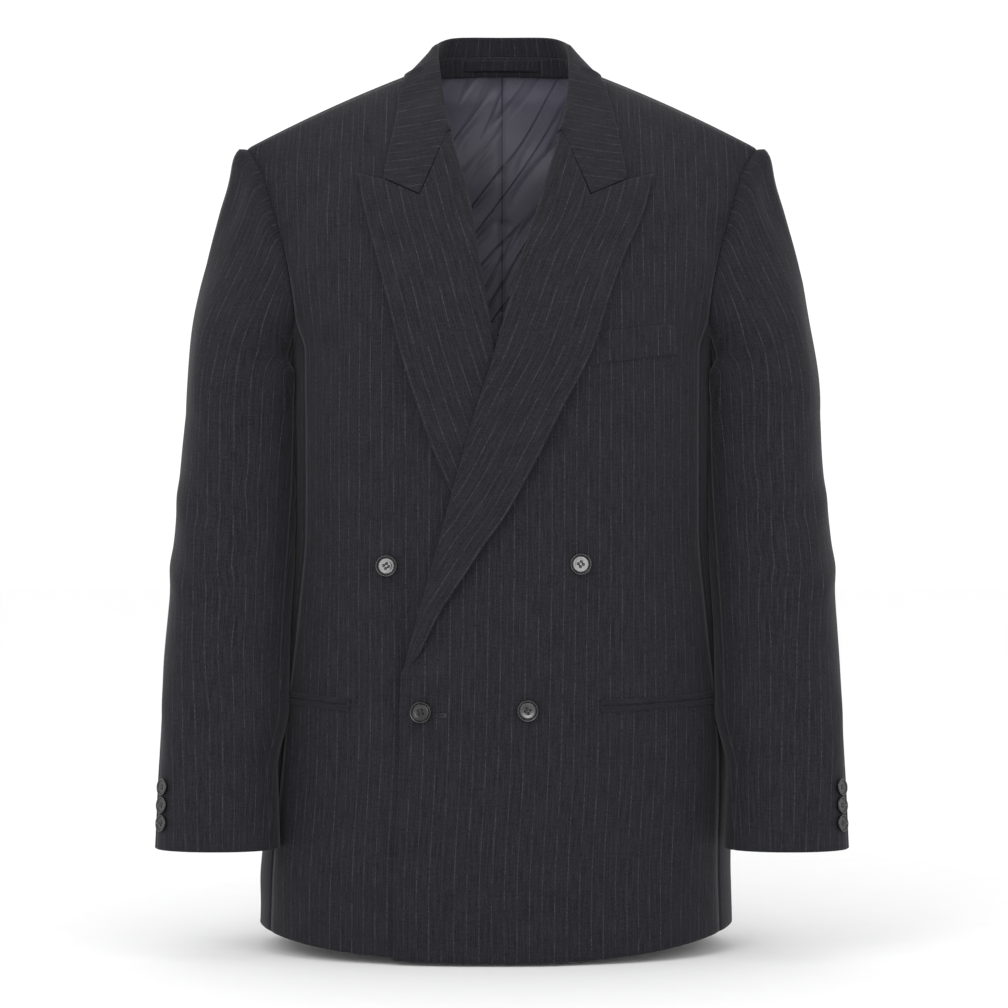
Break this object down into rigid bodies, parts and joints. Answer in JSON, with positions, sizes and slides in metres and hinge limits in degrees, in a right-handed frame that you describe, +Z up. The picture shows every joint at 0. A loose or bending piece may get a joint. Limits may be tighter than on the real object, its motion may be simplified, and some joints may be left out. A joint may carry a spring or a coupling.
{
  "type": "double breasted blazer",
  "caption": "Hollow worn-form double breasted blazer with peak lapels, a welt pocket, jetted hip pockets and set-in sleeves with cuff buttons.",
  "frame": {"origin": "centre of the neck base, where the wearer's neck comes through the collar", "axes": "+Z up along the wearer, -Y out of the front, +X to the wearer's left"},
  "size_m": [0.618, 0.2838, 0.8418],
  "materials": {
    "wool_suiting": "matt charcoal wool with faint pale pinstripes",
    "lining_satin": "soft satin",
    "button_gloss": "polished, four holes"
  },
  "bodies": {
    "root": {"front_left": "wool_suiting", "front_right": "wool_suiting", "side_left": "wool_suiting", "side_right": "wool_suiting", "back_left": "wool_suiting", "back_right": "wool_suiting", "sleeve_top_left": "wool_suiting", "sleeve_under_left": "wool_suiting", "sleeve_top_right": "wool_suiting", "sleeve_under_right": "wool_suiting", "lapel_left": "wool_suiting", "lapel_right": "wool_suiting", "collar": "wool_suiting", "collar_band": "wool_suiting", "hanger_loop": "wool_suiting", "breast_welt": "wool_suiting", "pocket_jets_left": "wool_suiting", "pocket_jets_right": "wool_suiting", "back_lining": "lining_satin", "button_upper_right": "button_gloss", "button_upper_left": "button_gloss", "button_lower_fastened": "button_gloss", "button_lower_left": "button_gloss", "cuff_button_left_1": "button_gloss", "cuff_button_left_2": "button_gloss", "cuff_button_left_3": "button_gloss", "cuff_button_right_1": "button_gloss", "cuff_button_right_2": "button_gloss", "cuff_button_right_3": "button_gloss"}
  },
  "joints": []
}
